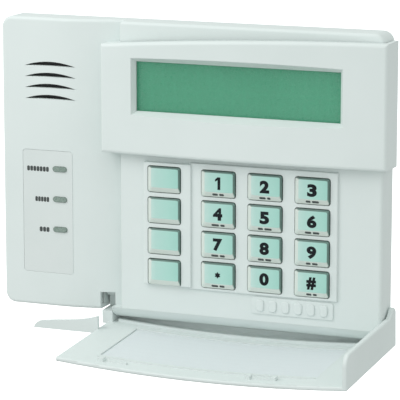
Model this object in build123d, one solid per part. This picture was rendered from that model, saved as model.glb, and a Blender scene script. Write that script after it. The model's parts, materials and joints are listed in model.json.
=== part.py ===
from build123d import *
import os

# Alarm keypad panel, in millimetres.
# X runs to the right, Z up and Y into the wall. The wall plane is Y = 0 and the front faces -Y.
# The origin is the centre of the wall screw pattern, on the back face.
# Depths inside the panel are counted from the flat front of the case: d(0) is that plane,
# negative depths stand proud of it and positive depths lie behind it.
# The door is shown open, resting on its stop. It is drawn closed and then swung about its hinge.

# Case
PANEL_W = 184.0
PANEL_H = 134.5
FRONT_Y = -22.5
CASE_DEPTH = 14.0
CORNER_R = 5.0
EDGE_R = 1.5
SIDE_WALL = 2.2
FRONT_WALL = 2.4
VALLEY_START_X = -63.0
VALLEY_END_X = -34.0
VALLEY_DEPTH = 6.5
DECK_LEFT_X = -32.7

# Rear case
REAR_INSET = 3.5
REAR_PLATE = 2.2
REAR_WALL = 2.0
REAR_LIP_DEPTH = 11.0
LEDGE_INSET = 0.8
LEDGE_T = 1.6
SCREW_SPACING_X = 120.0
SCREW_SPACING_Z = 83.3
SCREW_HOLE_R = 2.2
WIRE_OPENING_W = 44.0
WIRE_OPENING_H = 28.0

# Raised section: the display bezel above and the door below share one crowned front
RAISED_LEFT_X = -40.5
RAISED_RIGHT_X = 94.8
RAISED_END_DEPTH = -4.8
CROWN = 3.0
SKIN = 2.0
FLANGE_BACK_DEPTH = 10.8
BEZEL_BOTTOM_Z = 7.8
BEZEL_TOP_LEFT_Z = 57.3
BEZEL_TOP_MID_Z = 61.9
BEZEL_TOP_RIGHT_Z = 63.5
BEZEL_EDGE_R = 1.5

# Display
VIEW_X0 = -23.4
VIEW_X1 = 73.3
VIEW_Z0 = 27.7
VIEW_Z1 = 50.1
VIEW_BEVEL = 3.0
WINDOW_FRONT = -3.2
WINDOW_T = 1.2
LCD_FRAME_FRONT = -1.9
LCD_FRAME_T = 0.5
LCD_GLASS_T = 1.8
LCD_BACKLIGHT_T = 2.6
LCD_FRAME_W = 104.0
LCD_FRAME_H = 31.0
LCD_BOARD_W = 110.0
LCD_BOARD_H = 36.0
BOARD_T = 1.6

# Speaker grille and status lights on the left wing
SLOT_X0 = -80.4
SLOT_X1 = -55.1
SLOT_TOP_Z = 46.0
SLOT_PITCH = 5.1
SLOT_COUNT = 4
SLOT_RISE = 2.1
SOUNDER_R = 15.0
GASKET_T = 1.0
LIGHT_X = -63.3
LIGHT_TOP_Z = -2.4
LIGHT_PITCH = 14.15
LIGHT_W = 7.0
LIGHT_H = 2.6
LABEL_X0 = -82.0
LABEL_X1 = -57.0
LABEL_Z0 = -51.5
LABEL_Z1 = 6.0
LABEL_T = 0.3

# Keys
STRIP_X0 = -20.6
STRIP_X1 = 2.4
STRIP_Z0 = -52.1
STRIP_Z1 = 4.4
STRIP_PROUD = -2.4
BLOCK_X1 = 71.7
BLOCK_Z0 = -53.0
BLOCK_Z1 = 5.2
BLOCK_PROUD = -1.2
KEY_H = 11.6
FUNCTION_X = -18.2
FUNCTION_TOP_Z = 2.6
FUNCTION_PITCH = 14.25
FUNCTION_W = 15.6
FUNCTION_FACE = -3.7
NUMBER_X = 7.4
NUMBER_TOP_Z = 2.2
NUMBER_PITCH_X = 22.3
NUMBER_PITCH_Z = 14.0
NUMBER_W = 16.0
NUMBER_FACE = -2.8
KEY_GAP = 0.4
KEY_FLANGE = 0.8
KEY_FLANGE_FRONT = 2.5
KEY_FLANGE_BACK = 4.0
BEVEL_LEFT = 1.9
BEVEL_BOTTOM = 2.3
BEVEL_SMALL = 0.5
BEVEL_RISE = 1.2
KEY_EDGE_R = 0.35
DECK_EDGE_R = 0.5
PILL_R = 2.5
PILL_BACK = 7.7
MAT_FRONT = 5.6
MAT_T = 1.2
MAT_HOLE_R = 3.1
COLLAR_R = 4.2
MAT_MARGIN = 2.5

# Main board
BOARD_FRONT = 9.0
BOARD_BACK = BOARD_FRONT + BOARD_T
BOARD_X0 = -86.0
BOARD_X1 = 87.0
BOARD_Z0 = -52.2
BOARD_Z1 = 61.0
BOSS_POINTS = [(-82.0, 56.0), (-82.0, -47.5), (83.0, 56.0), (83.0, -47.5)]
BOSS_R = 3.0
PILOT_R = 1.1

# Door and its hinge
DOOR_TOP_Z = 7.4
DOOR_BOTTOM_Z = -61.9
DOOR_OPEN_DEG = 93.0
HINGE_DEPTH = 10.5
HINGE_Z = -59.0
KNUCKLE_R = 3.0
PIN_R = 1.5
PIN_BORE_R = 1.56
ARM_X0 = -43.6
ARM_X1 = -38.5
SLOT_SIDE_GAP = 0.9
EAR_TOP_Z = -50.5
EAR_BACK = 2.3
NOSE_R = 12.2
NOSE_X1 = 87.0
SLOT_MOUTH_Z = -59.2
POCKET_FRONT = 7.2
LIP_BACK = -2.3
DOOR_EDGE_R = 0.8
FLANGE_CORNER_R = 5.0
CARD_X0 = -25.0
CARD_X1 = 77.0
CARD_Z0 = -47.5
CARD_Z1 = -6.0
CARD_RECESS = 0.7
CARD_T = 0.25
PULL_Z = -38.0
PULL_T = 1.6
PULL_TIP_X = -72.5
PULL_CURVE = [(-70.8, -2.2), (-66.5, -1.0), (-60.0, -0.3), (-50.0, 0.8)]
PULL_ROOT_DEPTH = 3.3
RIDGE_Z0 = -54.2
RIDGE_Z1 = -52.6
RIDGE_H = 1.2
LATCH_Z0 = 0.6
LATCH_Z1 = 2.0
LATCH_BAR_H = 0.7
LATCH_TAB_H = 1.5
LATCH_BARS = [(-18.0, -9.0), (47.0, 61.0)]
LATCH_TABS = [(-22.5, -19.8), (47.0, 49.2), (58.8, 61.0)]

# Nameplate
PLATE_X0 = 31.0
PLATE_X1 = 69.8
PLATE_Z0 = -61.6
PLATE_Z1 = -53.8
PLATE_T = 0.6

HALF_W = PANEL_W / 2
HALF_H = PANEL_H / 2
RAISED_MID_X = (RAISED_LEFT_X + RAISED_RIGHT_X) / 2


def d(depth):
    """Y of a plane at this depth behind the case's flat front."""
    return FRONT_Y + depth


def block(x0, x1, depth0, depth1, z0, z1):
    """Plain box between two depths, counted from the case's front."""
    corner = Pos(x0, d(depth0), z0)
    return corner * Box(x1 - x0, depth1 - depth0, z1 - z0, align=(Align.MIN, Align.MIN, Align.MIN))


def facing(depth):
    """Sketch plane at a depth, seen from the front: local x is X and local y is Z."""
    return Plane(origin=(0, d(depth), 0), x_dir=(1, 0, 0), z_dir=(0, -1, 0))


def from_front(sketch, depth0, depth1):
    """Outline drawn in X and Z, made solid between two depths."""
    return extrude(facing(depth1) * sketch, amount=depth1 - depth0)


def rounded_block(x0, x1, depth0, depth1, z0, z1, radius):
    """Box with rounded corners as seen from the front."""
    outline = Pos((x0 + x1) / 2, (z0 + z1) / 2) * RectangleRounded(x1 - x0, z1 - z0, radius)
    return from_front(outline, depth0, depth1)


def round_y(x, z, radius, depth0, depth1):
    """Cylinder along Y between two depths."""
    return from_front(Pos(x, z) * Circle(radius), depth0, depth1)


def round_x(depth, z, radius, x0, x1):
    """Cylinder along X."""
    plane = Plane(origin=(x0, d(depth), z), x_dir=(0, 1, 0), z_dir=(1, 0, 0))
    return extrude(plane * Circle(radius), amount=x1 - x0)


def seen_from_right(points, x0, x1):
    """Outline given as (depth, z) points, made solid between two X positions."""
    wire = Polyline(*[(x0, d(depth), z) for depth, z in points], close=True)
    return extrude(make_face(wire), amount=x1 - x0, dir=(1, 0, 0))


def crown_band(x0, x1, depth0, depth1, z0, z1):
    """Slab between two crowned surfaces; depths are those at the raised section's ends."""
    def crowned(x, depth):
        share = (x - RAISED_MID_X) / (RAISED_RIGHT_X - RAISED_MID_X)
        return d(depth - CROWN * (1 - share * share))

    def arc(depth):
        middle = (x0 + x1) / 2
        ends = [(x, crowned(x, depth), z0) for x in (x0, middle, x1)]
        return ThreePointArc(*ends)

    front = arc(depth0)
    back = arc(depth1)
    sides = [Line(front @ 0, back @ 0), Line(front @ 1, back @ 1)]
    return extrude(make_face([front, back] + sides), amount=z1 - z0, dir=(0, 0, 1))


def crown_block(x0, x1, depth0, depth1, z0, z1):
    """Slab with a crowned front and a flat back at depth1."""
    band = crown_band(x0, x1, depth0, 0.0, z0, z1)
    if depth1 > 0:
        return band + block(x0, x1, -0.01, depth1, z0, z1)
    return band - block(x0 - 1, x1 + 1, depth1, 1.0, z0 - 1, z1 + 1)


def case_profile(side_inset, skin, back_depth):
    """Section of the case seen from above: flat wing, valley, then the flat deck."""
    left = -HALF_W + side_inset
    right = HALF_W - side_inset
    valley_front = d(skin + VALLEY_DEPTH)
    deck_x = DECK_LEFT_X + skin
    valley_x = VALLEY_END_X + skin / 2
    middle_x = (VALLEY_START_X + valley_x) / 2
    wing = Line((left, d(skin)), (VALLEY_START_X, d(skin)))
    valley = ThreePointArc(
        (VALLEY_START_X, d(skin)), (middle_x, d(skin + VALLEY_DEPTH / 4)), (valley_x, valley_front)
    )
    rest = Polyline(
        (valley_x, valley_front),
        (deck_x, d(skin)),
        (right, d(skin)),
        (right, d(back_depth)),
        (left, d(back_depth)),
        (left, d(skin)),
    )
    return make_face([wing, valley] + list(rest.edges()))


def case_envelope():
    """Outer shape of the front case as a filled solid, with rounded edges."""
    profile = Pos(0, 0, -HALF_H) * case_profile(0, 0, CASE_DEPTH)
    prism = extrude(profile, amount=PANEL_H, dir=(0, 0, 1))
    outline = rounded_block(-HALF_W, HALF_W, -1, CASE_DEPTH, -HALF_H, HALF_H, CORNER_R)
    body = prism & outline

    def on_rim(edge):
        box = edge.bounding_box()
        side = abs(edge.center().X) > HALF_W - CORNER_R - 1 and box.max.Y < d(0.2)
        end = abs(edge.center().Z) > HALF_H - 2 and edge.center().Y < d(VALLEY_DEPTH)
        return side or end

    return fillet(body.edges().filter_by(on_rim), EDGE_R)


def key_layout():
    """Name, left edge, top edge, width and face depth of each key."""
    keys = []
    for row in range(4):
        top = FUNCTION_TOP_Z - row * FUNCTION_PITCH
        keys.append((f"function_key_{row + 1}", FUNCTION_X, top, FUNCTION_W, FUNCTION_FACE))
    names = ["1", "2", "3", "4", "5", "6", "7", "8", "9", "star", "0", "hash"]
    for index, name in enumerate(names):
        left = NUMBER_X + (index % 3) * NUMBER_PITCH_X
        top = NUMBER_TOP_Z - (index // 3) * NUMBER_PITCH_Z
        keys.append((f"key_{name}", left, top, NUMBER_W, NUMBER_FACE))
    return keys


def light_heights():
    """Z of each status light."""
    return [LIGHT_TOP_Z - row * LIGHT_PITCH for row in range(3)]


def raised_deck(x0, x1, proud, z0, z1):
    """Low plateau around a group of keys, with a softened front edge."""
    plateau = block(x0, x1, proud, FRONT_WALL, z0, z1)
    rim = plateau.edges().filter_by(lambda edge: edge.center().Y < d(proud + 0.01))
    return fillet(rim, DECK_EDGE_R)


def add_hinge_nose(case, left_x):
    """Roll the deck's lower edge round the hinge line, so that the open door leaves no gap under it."""
    barrel = round_x(HINGE_DEPTH, HINGE_Z, NOSE_R, left_x, NOSE_X1)
    lower_z = -HALF_H + SIDE_WALL
    corner = block(left_x, NOSE_X1, -0.5, HINGE_DEPTH, -HALF_H - 1, HINGE_Z - 4)
    lower_part = block(left_x, NOSE_X1, -0.5, CASE_DEPTH, HINGE_Z - NOSE_R - 1, lower_z)
    return case - (corner - barrel) + (barrel & lower_part)


def grille_slot(top_z):
    """Crescent outline, nearly straight below and arched above."""
    middle = (SLOT_X0 + SLOT_X1) / 2
    low = top_z - 1.0
    upper = ThreePointArc((SLOT_X0, low), (middle, low + SLOT_RISE), (SLOT_X1, low))
    lower = ThreePointArc((SLOT_X0, low), (middle, low + 0.2), (SLOT_X1, low))
    return make_face([upper, lower])


def make_front_case():
    """Front shell with key openings, display opening, grille and hinge pockets."""
    shell = case_envelope()
    inner = Pos(0, 0, -HALF_H + SIDE_WALL) * case_profile(SIDE_WALL, FRONT_WALL, CASE_DEPTH + 1)
    cavity = extrude(inner, amount=PANEL_H - 2 * SIDE_WALL, dir=(0, 0, 1))
    pocket_x0 = ARM_X0 - SLOT_SIDE_GAP - 1.5
    left_pocket = block(pocket_x0, VALLEY_END_X, 7.0, CASE_DEPTH, -HALF_H + 1, HINGE_Z + 6.0)
    right_boss = block(86.5, HALF_W - 1, 6.0, CASE_DEPTH, HINGE_Z - 4.5, HINGE_Z + 4.5)
    bosses = [round_y(x, z, BOSS_R, 1.0, BOARD_FRONT) for x, z in BOSS_POINTS]
    case = shell - cavity + left_pocket + right_boss + bosses
    case += raised_deck(STRIP_X0, STRIP_X1, STRIP_PROUD, STRIP_Z0, STRIP_Z1)
    case += raised_deck(STRIP_X1 - 1, BLOCK_X1, BLOCK_PROUD, BLOCK_Z0, BLOCK_Z1)
    slot_x0 = ARM_X0 - SLOT_SIDE_GAP
    slot_x1 = ARM_X1 + 0.5
    case -= block(slot_x0, slot_x1, -1, CASE_DEPTH + 1, -HALF_H - 1, SLOT_MOUTH_Z)
    case -= block(slot_x0, slot_x1, POCKET_FRONT, CASE_DEPTH + 1, -HALF_H - 1, HINGE_Z + KNUCKLE_R + 0.6)
    case = add_hinge_nose(case, slot_x1)
    case -= round_x(HINGE_DEPTH, HINGE_Z, PIN_BORE_R, ARM_X1, ARM_X1 + 3.8)
    case -= round_x(HINGE_DEPTH, HINGE_Z, PIN_BORE_R, HALF_W - 4.4, HALF_W + 1)
    board_x0 = (VIEW_X0 + VIEW_X1 - LCD_BOARD_W) / 2
    board_z0 = (VIEW_Z0 + VIEW_Z1 - LCD_BOARD_H) / 2
    board_x1 = board_x0 + LCD_BOARD_W
    board_z1 = board_z0 + LCD_BOARD_H
    case -= block(board_x0 - 0.5, board_x1 + 0.5, -1, CASE_DEPTH, board_z0 - 0.5, board_z1 + 0.5)
    for name, left, top, width, face in key_layout():
        right = left + width
        bottom = top - KEY_H
        case -= rounded_block(
            left - KEY_GAP, right + KEY_GAP, -5, FRONT_WALL + 1, bottom - KEY_GAP, top + KEY_GAP, 1.4
        )
    for row in range(SLOT_COUNT):
        case -= from_front(grille_slot(SLOT_TOP_Z - row * SLOT_PITCH), -1, FRONT_WALL + 1)
    case -= rounded_block(LABEL_X0, LABEL_X1, -1, LABEL_T, LABEL_Z0, LABEL_Z1, 1.5)
    for z in light_heights():
        case -= from_front(Pos(LIGHT_X, z) * SlotOverall(LIGHT_W, LIGHT_H), -1, FRONT_WALL + 1)
    for x, z in BOSS_POINTS:
        case -= round_y(x, z, PILOT_R, 4.0, BOARD_FRONT + 1)
    return case


def make_rear_case():
    """Wall plate with its rim, ledge, screw bosses and wiring opening."""
    outer_x = HALF_W - REAR_INSET
    outer_z = HALF_H - REAR_INSET
    rim_back = -FRONT_Y
    plate_front = rim_back - REAR_PLATE
    tray = rounded_block(-outer_x, outer_x, REAR_LIP_DEPTH, rim_back, -outer_z, outer_z, 4.0)
    hollow_x = outer_x - REAR_WALL
    hollow_z = outer_z - REAR_WALL
    tray -= rounded_block(
        -hollow_x, hollow_x, REAR_LIP_DEPTH - 1, plate_front, -hollow_z, hollow_z, 2.0
    )
    ledge_x = HALF_W - LEDGE_INSET
    ledge_z = HALF_H - LEDGE_INSET
    ledge = rounded_block(
        -ledge_x, ledge_x, CASE_DEPTH, CASE_DEPTH + LEDGE_T, -ledge_z, ledge_z, CORNER_R - LEDGE_INSET
    )
    ledge -= rounded_block(
        -hollow_x, hollow_x, CASE_DEPTH - 1, CASE_DEPTH + LEDGE_T + 1, -hollow_z, hollow_z, 2.0
    )
    tray += ledge
    for x in (-55.0, 55.0):
        tray += block(x - 4, x + 4, REAR_LIP_DEPTH + 0.5, CASE_DEPTH - 1, outer_z - 0.5, HALF_H - SIDE_WALL)
        tray += block(x - 4, x + 4, REAR_LIP_DEPTH + 0.5, CASE_DEPTH - 1, SIDE_WALL - HALF_H, 0.5 - outer_z)
    tray -= block(ARM_X0 - 6, VALLEY_END_X + 1, REAR_LIP_DEPTH - 1, CASE_DEPTH, -HALF_H, HINGE_Z + 7)
    tray -= block(85.0, HALF_W, REAR_LIP_DEPTH - 1, CASE_DEPTH, HINGE_Z - 6, HINGE_Z + 6)
    for x in (-SCREW_SPACING_X / 2, SCREW_SPACING_X / 2):
        for z in (-SCREW_SPACING_Z / 2, SCREW_SPACING_Z / 2):
            tray += round_y(x, z, 5.0, plate_front - 1.2, plate_front + 0.1)
            tray -= round_y(x, z, SCREW_HOLE_R, plate_front - 2, rim_back + 1)
    tray -= rounded_block(
        -WIRE_OPENING_W / 2,
        WIRE_OPENING_W / 2,
        plate_front - 1,
        rim_back + 1,
        -WIRE_OPENING_H / 2,
        WIRE_OPENING_H / 2,
        3.0,
    )
    return tray


def bezel_outline():
    """The bezel as seen from the front, with its arched top edge."""
    top = ThreePointArc(
        (RAISED_LEFT_X, BEZEL_TOP_LEFT_Z),
        (RAISED_MID_X, BEZEL_TOP_MID_Z),
        (RAISED_RIGHT_X, BEZEL_TOP_RIGHT_Z),
    )
    rest = Polyline(
        (RAISED_RIGHT_X, BEZEL_TOP_RIGHT_Z),
        (RAISED_RIGHT_X, BEZEL_BOTTOM_Z),
        (RAISED_LEFT_X, BEZEL_BOTTOM_Z),
        (RAISED_LEFT_X, BEZEL_TOP_LEFT_Z),
    )
    return make_face([top] + list(rest.edges()))


def view_opening():
    """Sight opening of the display, wider at the front."""
    width = VIEW_X1 - VIEW_X0
    height = VIEW_Z1 - VIEW_Z0
    centre = Pos((VIEW_X0 + VIEW_X1) / 2, (VIEW_Z0 + VIEW_Z1) / 2)
    inner = facing(WINDOW_FRONT) * (centre * Rectangle(width, height))
    outer_depth = RAISED_END_DEPTH - CROWN - 0.5
    outer = facing(outer_depth) * (centre * Rectangle(width + 2 * VIEW_BEVEL, height + 2 * VIEW_BEVEL))
    through = block(VIEW_X0, VIEW_X1, WINDOW_FRONT - 0.01, WINDOW_FRONT + 2, VIEW_Z0, VIEW_Z1)
    return loft([inner, outer], ruled=True) + through


def make_display_bezel():
    """Crowned shell over the display, with a flange down the right side of the case."""
    bottom = BEZEL_BOTTOM_Z
    top = BEZEL_TOP_RIGHT_Z + 1
    body = crown_block(RAISED_LEFT_X, RAISED_RIGHT_X, RAISED_END_DEPTH, 0, bottom, top)
    body += block(RAISED_LEFT_X, DECK_LEFT_X, -0.5, VALLEY_DEPTH, bottom, top)
    body += block(RAISED_RIGHT_X - SKIN, RAISED_RIGHT_X, -0.5, FLANGE_BACK_DEPTH, bottom, top)
    body &= from_front(bezel_outline(), -20, CASE_DEPTH)
    front_edges = body.edges().filter_by(lambda edge: edge.center().Y < d(RAISED_END_DEPTH + 0.3))
    body = fillet(front_edges, BEZEL_EDGE_R)
    inner_end = RAISED_RIGHT_X - SKIN
    hollow = crown_band(
        RAISED_LEFT_X + SKIN, inner_end, RAISED_END_DEPTH + SKIN, 0.0, bottom + SKIN, BEZEL_TOP_LEFT_Z - SKIN
    )
    hollow += block(
        RAISED_LEFT_X + SKIN, inner_end, -0.5, VALLEY_DEPTH + 1, bottom + SKIN, BEZEL_TOP_LEFT_Z - SKIN
    )
    rim = block(VIEW_X0 - 4.5, VIEW_X1 + 4.5, -7.0, WINDOW_FRONT, VIEW_Z0 - 4.5, VIEW_Z1 + 4.5)
    rim &= crown_block(RAISED_LEFT_X, RAISED_RIGHT_X, RAISED_END_DEPTH + 1, 0, bottom, top)
    body = body - hollow + rim - view_opening()
    return body - case_envelope()


def make_lcd():
    """Display module: metal frame, glass, backlight, board, spacers and header."""
    mid_x = (VIEW_X0 + VIEW_X1) / 2
    mid_z = (VIEW_Z0 + VIEW_Z1) / 2
    glass_front = LCD_FRAME_FRONT + LCD_FRAME_T
    glass_back = glass_front + LCD_GLASS_T
    light_back = glass_back + LCD_BACKLIGHT_T
    board_back = light_back + BOARD_T

    def centred(width, height, depth0, depth1):
        half_w = width / 2
        half_h = height / 2
        return block(mid_x - half_w, mid_x + half_w, depth0, depth1, mid_z - half_h, mid_z + half_h)

    window_w = VIEW_X1 - VIEW_X0 + 6.0
    window_h = VIEW_Z1 - VIEW_Z0 + 6.0
    window = rounded_block(
        mid_x - window_w / 2,
        mid_x + window_w / 2,
        WINDOW_FRONT,
        WINDOW_FRONT + WINDOW_T,
        mid_z - window_h / 2,
        mid_z + window_h / 2,
        2.0,
    )
    frame = centred(LCD_FRAME_W, LCD_FRAME_H, LCD_FRAME_FRONT, light_back)
    frame -= centred(LCD_FRAME_W - 1.6, LCD_FRAME_H - 1.6, glass_front, light_back + 1)
    frame -= centred(VIEW_X1 - VIEW_X0 + 1.0, VIEW_Z1 - VIEW_Z0 + 1.0, LCD_FRAME_FRONT - 1, glass_front + 1)
    glass = centred(LCD_FRAME_W - 2.0, LCD_FRAME_H - 2.0, glass_front, glass_back)
    light = centred(LCD_FRAME_W - 2.0, LCD_FRAME_H - 2.0, glass_back, light_back)
    board = centred(LCD_BOARD_W, LCD_BOARD_H, light_back, board_back)
    spacer_dx = LCD_BOARD_W / 2 - 4
    spacer_dz = LCD_BOARD_H / 2 - 4
    spacers = [
        round_y(mid_x + sx * spacer_dx, mid_z + sz * spacer_dz, 2.2, board_back, BOARD_FRONT)
        for sx in (-1, 1)
        for sz in (-1, 1)
    ]
    pins = [
        block(mid_x - 20.3 + 2.54 * i, mid_x - 19.7 + 2.54 * i, board_back, BOARD_FRONT, 23.0, 23.6)
        for i in range(16)
    ]
    return {
        "display_window": window,
        "lcd_frame": frame,
        "lcd_glass": glass,
        "lcd_backlight": light,
        "lcd_board": board,
        "lcd_spacers": Compound(children=spacers),
        "lcd_header_pins": Compound(children=pins),
    }


def make_key(left, top, width, face):
    """Rubber key cap: sloped left and lower sides, and a retaining flange behind the panel."""
    shoulder = face + BEVEL_RISE
    bottom = top - KEY_H
    low = Pos(left + width / 2, top - KEY_H / 2) * RectangleRounded(width, KEY_H, 1.0)
    face_w = width - BEVEL_LEFT - BEVEL_SMALL
    face_h = KEY_H - BEVEL_BOTTOM - BEVEL_SMALL
    face_x = left + BEVEL_LEFT + face_w / 2
    face_z = bottom + BEVEL_BOTTOM + face_h / 2
    high = Pos(face_x, face_z) * RectangleRounded(face_w, face_h, 1.0)
    cap = loft([facing(shoulder) * low, facing(face) * high])
    face_rim = cap.edges().filter_by(lambda edge: edge.center().Y < d(face + 0.01))
    cap = fillet(face_rim, KEY_EDGE_R)
    cap += from_front(low, shoulder, KEY_FLANGE_BACK)
    cap += rounded_block(
        left - KEY_FLANGE,
        left + width + KEY_FLANGE,
        KEY_FLANGE_FRONT,
        KEY_FLANGE_BACK,
        bottom - KEY_FLANGE,
        top + KEY_FLANGE,
        1.5,
    )
    return cap


def make_key_mat(keys):
    """Silicone sheet on the board, with a collar around each contact."""
    left = min(key[1] for key in keys) - MAT_MARGIN
    right = max(key[1] + key[3] for key in keys) + MAT_MARGIN
    top = max(key[2] for key in keys) + MAT_MARGIN
    bottom = min(key[2] for key in keys) - KEY_H - 0.5
    mat = rounded_block(left, right, MAT_FRONT, MAT_FRONT + MAT_T, bottom, top, 3.0)
    for name, key_left, key_top, width, face in keys:
        x = key_left + width / 2
        z = key_top - KEY_H / 2
        mat += round_y(x, z, COLLAR_R, MAT_FRONT + MAT_T, BOARD_FRONT)
        mat -= round_y(x, z, MAT_HOLE_R, MAT_FRONT - 1, BOARD_FRONT + 1)
    return mat


def make_wing_parts(front_case):
    """Status label, its light pipes and lights, and the sounder behind the grille."""
    label = rounded_block(LABEL_X0 + 0.1, LABEL_X1 - 0.1, 0.05, LABEL_T, LABEL_Z0 + 0.1, LABEL_Z1 - 0.1, 1.4)
    pipes = []
    lights = []
    for z in light_heights():
        centre = Pos(LIGHT_X, z)
        label -= from_front(centre * SlotOverall(LIGHT_W, LIGHT_H), -1, 1)
        pipe = from_front(centre * SlotOverall(LIGHT_W - 0.1, LIGHT_H - 0.1), -0.5, 7.4)
        collar = SlotOverall(LIGHT_W + 2, LIGHT_H + 2)
        pipe += from_front(centre * collar, FRONT_WALL + 0.2, FRONT_WALL + 1.2)
        pipes.append(pipe)
        lights.append(block(LIGHT_X - 1.6, LIGHT_X + 1.6, 7.6, BOARD_FRONT, z - 0.8, z + 0.8))
    x = (SLOT_X0 + SLOT_X1) / 2
    z = SLOT_TOP_Z - 1.5 * SLOT_PITCH
    gasket_back = FRONT_WALL + GASKET_T
    sounder = round_y(x, z, SOUNDER_R, gasket_back, 7.5) + round_y(x, z, 6.0, 7.4, BOARD_FRONT)
    sounder -= round_y(x, z, 1.5, FRONT_WALL, 5.0)
    gasket = round_y(x, z, SOUNDER_R, FRONT_WALL, gasket_back)
    gasket -= round_y(x, z, SOUNDER_R - 1.4, FRONT_WALL - 1, gasket_back + 1)
    gasket -= front_case
    return {
        "status_label": label,
        "status_light_pipes": Compound(children=pipes),
        "status_lights": Compound(children=lights),
        "sounder": sounder,
        "sounder_gasket": gasket,
    }


def make_board_parts(keys):
    """Main board with its screws, key lights, controller, capacitors and terminal block."""
    board = rounded_block(BOARD_X0, BOARD_X1, BOARD_FRONT, BOARD_BACK, BOARD_Z0, BOARD_Z1, 2.0)
    screws = []
    for x, z in BOSS_POINTS:
        board -= round_y(x, z, 1.5, BOARD_FRONT - 1, BOARD_BACK + 1)
        screw = round_y(x, z, 2.5, BOARD_BACK, BOARD_BACK + 1.7) + round_y(x, z, 1.05, 4.8, BOARD_BACK)
        screw -= block(x - 1.5, x + 1.5, BOARD_BACK + 0.9, BOARD_BACK + 2, z - 0.3, z + 0.3)
        screw -= block(x - 0.3, x + 0.3, BOARD_BACK + 0.9, BOARD_BACK + 2, z - 1.5, z + 1.5)
        screws.append(screw)
    key_lights = []
    for name, left, top, width, face in keys:
        x = left + width / 2 + 5.6
        z = top - KEY_H / 2
        key_lights.append(block(x - 0.8, x + 0.8, 8.2, BOARD_FRONT, z - 0.6, z + 0.6))
    chip_x, chip_z = 48.0, 34.0
    chip = block(chip_x - 7, chip_x + 7, BOARD_BACK + 0.2, BOARD_BACK + 1.8, chip_z - 7, chip_z + 7)
    leg_back = BOARD_BACK + 0.5
    for i in range(11):
        offset = -5.0 + i
        leg_x = chip_x + offset
        leg_z = chip_z + offset
        chip += block(chip_x - 8.2, chip_x + 8.2, BOARD_BACK, leg_back, leg_z - 0.2, leg_z + 0.2)
        chip += block(leg_x - 0.2, leg_x + 0.2, BOARD_BACK, leg_back, chip_z - 8.2, chip_z + 8.2)
    cans = [round_y(x, -34.0, 3.2, BOARD_BACK, BOARD_BACK + 7.0) for x in (-50.0, -41.0, -32.0)]
    ways = [-7.5, -2.5, 2.5, 7.5]
    terminals = block(-10.5, 10.5, BOARD_BACK, BOARD_BACK + 8.0, 18.0, 26.0)
    clamps = []
    for x in ways:
        terminals -= block(x - 1.6, x + 1.6, BOARD_BACK + 1.5, BOARD_BACK + 5.0, 17.0, 22.0)
        terminals -= round_y(x, 23.6, 1.7, BOARD_BACK + 5.0, BOARD_BACK + 9.0)
        clamp = round_y(x, 23.6, 1.5, BOARD_BACK + 5.0, BOARD_BACK + 7.2)
        clamp -= block(x - 2, x + 2, BOARD_BACK + 6.6, BOARD_BACK + 8, 23.3, 23.9)
        clamps.append(clamp)
    return {
        "main_board": board,
        "board_screws": Compound(children=screws),
        "key_lights": Compound(children=key_lights),
        "controller_chip": chip,
        "capacitors": Compound(children=cans),
        "terminal_block": terminals,
        "terminal_screws": Compound(children=clamps),
    }


def door_flange():
    """Right side wall of the door with its round knuckle and hinge pin."""
    x0 = RAISED_RIGHT_X - SKIN
    back = FLANGE_BACK_DEPTH
    points = [
        (RAISED_END_DEPTH + 0.4, DOOR_BOTTOM_Z),
        (RAISED_END_DEPTH + 0.4, DOOR_TOP_Z),
        (back - FLANGE_CORNER_R, DOOR_TOP_Z),
        (back, DOOR_TOP_Z - FLANGE_CORNER_R),
        (back - 0.8, HINGE_Z + KNUCKLE_R + 3),
        (HINGE_DEPTH + KNUCKLE_R, HINGE_Z),
        (HINGE_DEPTH, DOOR_BOTTOM_Z),
    ]
    flange = seen_from_right(points, x0, RAISED_RIGHT_X)
    corner_depth = back - FLANGE_CORNER_R
    corner_z = DOOR_TOP_Z - FLANGE_CORNER_R
    flange += round_x(corner_depth, corner_z, FLANGE_CORNER_R, x0, RAISED_RIGHT_X)
    flange += round_x(HINGE_DEPTH, HINGE_Z, KNUCKLE_R, x0, RAISED_RIGHT_X)
    return flange + round_x(HINGE_DEPTH, HINGE_Z, PIN_R, HALF_W - 4.0, x0 + 0.5)


def door_arm():
    """Left hinge arm and ear, which swing through the slot beside the valley."""
    inner = RAISED_END_DEPTH + SKIN / 2
    arm_top = SLOT_MOUTH_Z - 0.3
    points = [
        (inner, DOOR_BOTTOM_Z),
        (inner, EAR_TOP_Z),
        (EAR_BACK, EAR_TOP_Z),
        (EAR_BACK, arm_top),
        (HINGE_DEPTH, arm_top),
        (HINGE_DEPTH, HINGE_Z - KNUCKLE_R),
        (0.0, DOOR_BOTTOM_Z),
    ]
    arm = seen_from_right(points, ARM_X0, ARM_X1)
    arm += round_x(HINGE_DEPTH, HINGE_Z, KNUCKLE_R, ARM_X0, ARM_X1)
    return arm + round_x(HINGE_DEPTH, HINGE_Z, PIN_R, ARM_X1 - 0.5, ARM_X1 + 3.4)


def door_pull():
    """Finger pull: a thin fin from the door's left edge, following the valley of the wing."""
    front = d(RAISED_END_DEPTH)
    root_x = RAISED_LEFT_X + 0.5
    outer = Line((root_x, front), (PULL_TIP_X, front))
    root_end = (root_x, d(PULL_ROOT_DEPTH))
    inner = Spline((PULL_TIP_X, front), *[(x, d(depth)) for x, depth in PULL_CURVE], root_end)
    root = Line(root_end, (root_x, front))
    face = Pos(0, 0, PULL_Z - PULL_T / 2) * make_face([outer, inner, root])
    return extrude(face, amount=PULL_T, dir=(0, 0, 1))


def on_door_rim(edge):
    """Outer edges of the closed door's face, and the flange's outer edges."""
    centre = edge.center()
    face = centre.Y < d(RAISED_END_DEPTH + 0.6)
    flange = centre.X > RAISED_RIGHT_X - 0.01
    return face or flange


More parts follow.
